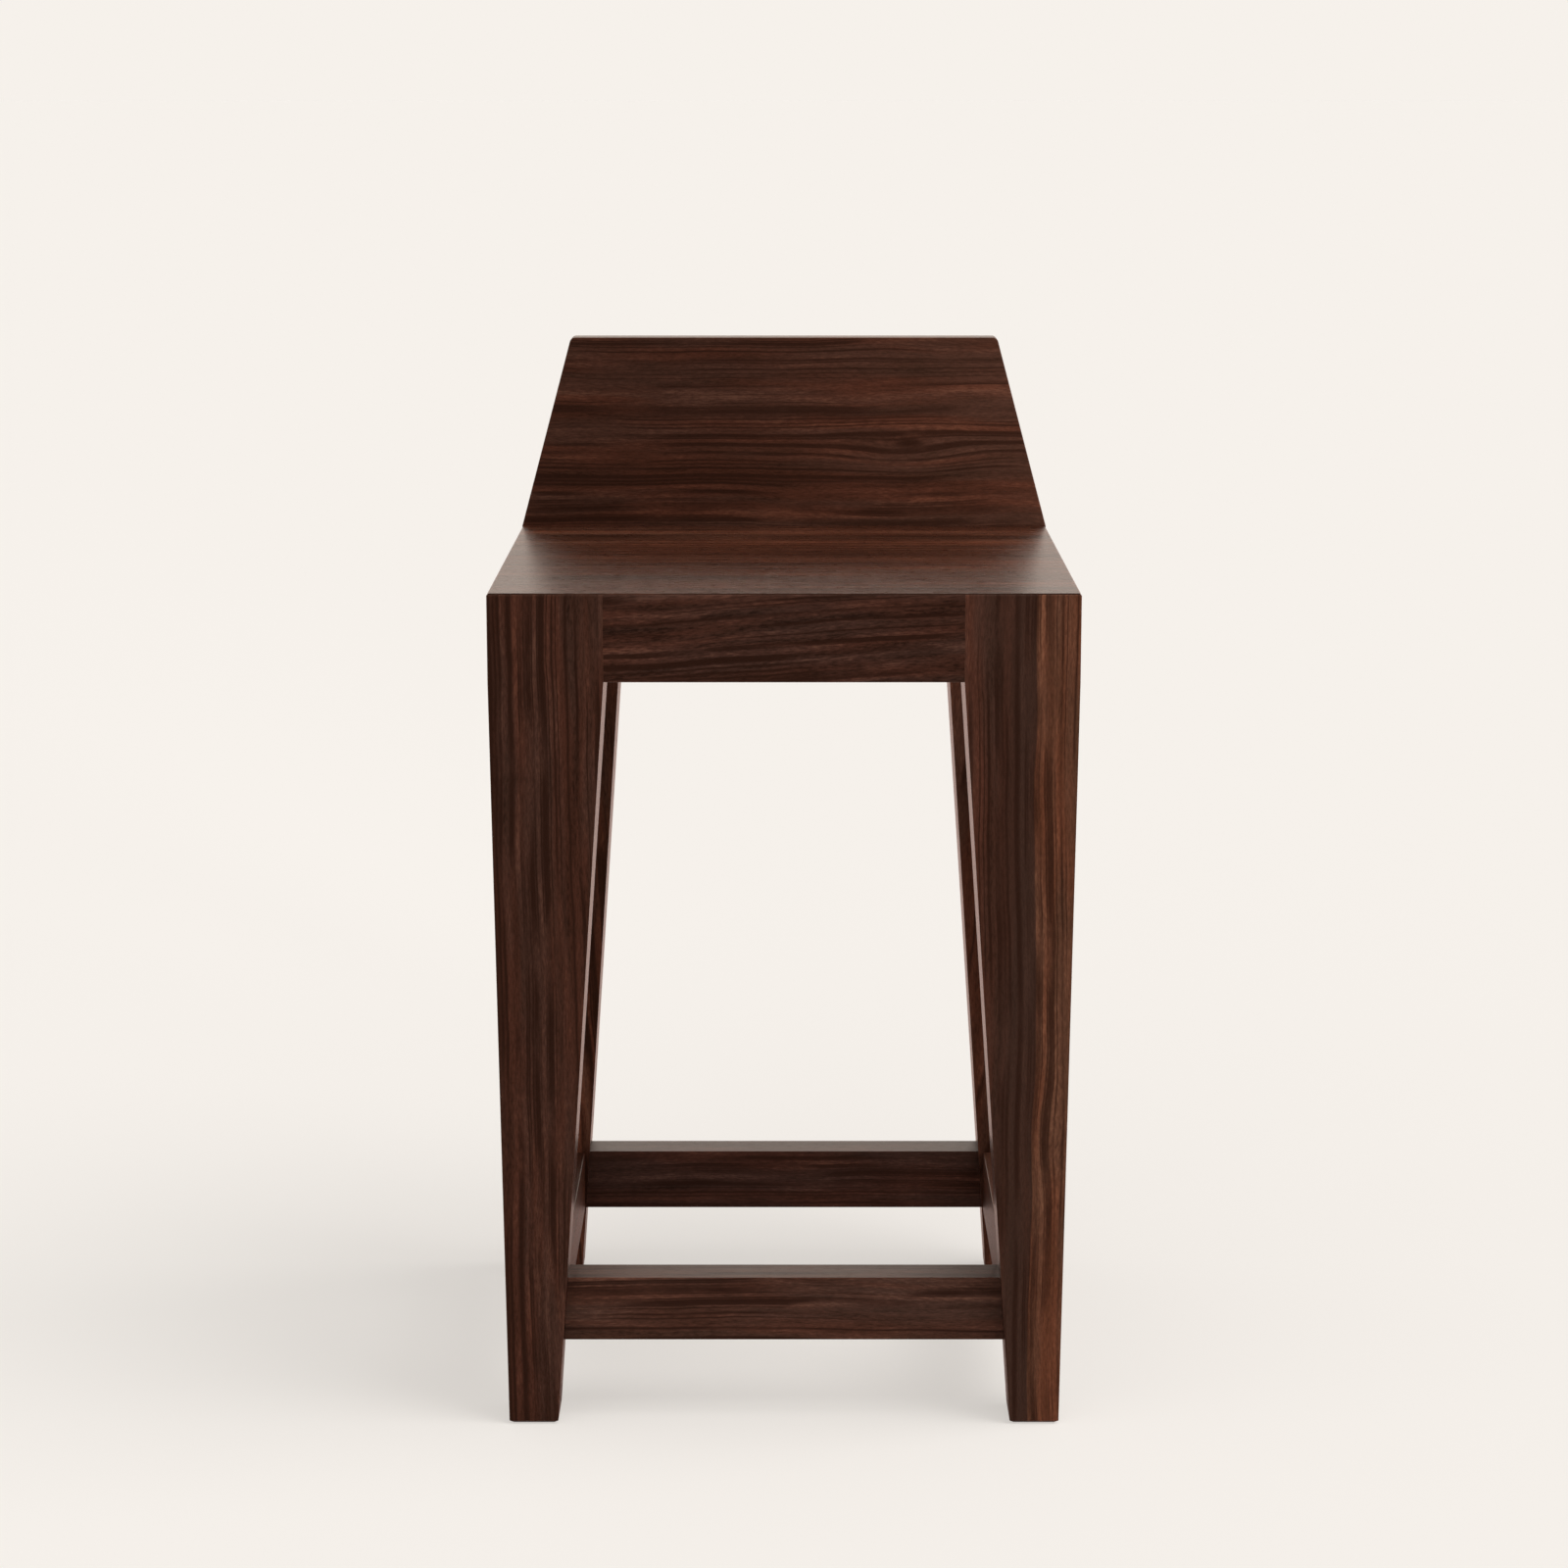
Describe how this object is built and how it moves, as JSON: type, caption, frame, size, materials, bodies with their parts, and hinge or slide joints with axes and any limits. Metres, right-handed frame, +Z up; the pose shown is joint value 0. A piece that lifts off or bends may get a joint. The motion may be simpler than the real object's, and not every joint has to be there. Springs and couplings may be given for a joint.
{
  "type": "counter stool",
  "caption": "Backed counter stool in dark hardwood: tapered legs, a flat seat mitred to a flush frame, a low board for a backrest and a ring of foot stretchers.",
  "frame": {"origin": "on the floor, under the middle of the stool's outline", "axes": "+Z up, +Y from the seat's front to the backrest, +X to the right as seen from the front"},
  "size_m": [0.43, 0.412, 0.789],
  "materials": {
    "dark_hardwood": "satin",
    "beech": "bare, planed",
    "zinc_steel": "zinc plated",
    "nylon": "moulded, matt"
  },
  "bodies": {
    "root": {"front_left_leg": "dark_hardwood", "rear_left_leg": "dark_hardwood", "front_right_leg": "dark_hardwood", "rear_right_leg": "dark_hardwood", "front_apron": "dark_hardwood", "rear_apron": "dark_hardwood", "left_apron": "dark_hardwood", "right_apron": "dark_hardwood", "front_stretcher": "dark_hardwood", "rear_stretcher": "dark_hardwood", "left_stretcher": "dark_hardwood", "right_stretcher": "dark_hardwood", "seat_panel": "dark_hardwood", "backrest_board": "dark_hardwood", "front_seat_cleat": "beech", "rear_seat_cleat": "beech", "left_seat_cleat": "beech", "right_seat_cleat": "beech", "backrest_dowels": "beech", "cleat_screws": "zinc_steel", "seat_screws": "zinc_steel", "backrest_screws": "zinc_steel", "front_left_glide": "nylon", "rear_left_glide": "nylon", "front_right_glide": "nylon", "rear_right_glide": "nylon"}
  },
  "joints": []
}
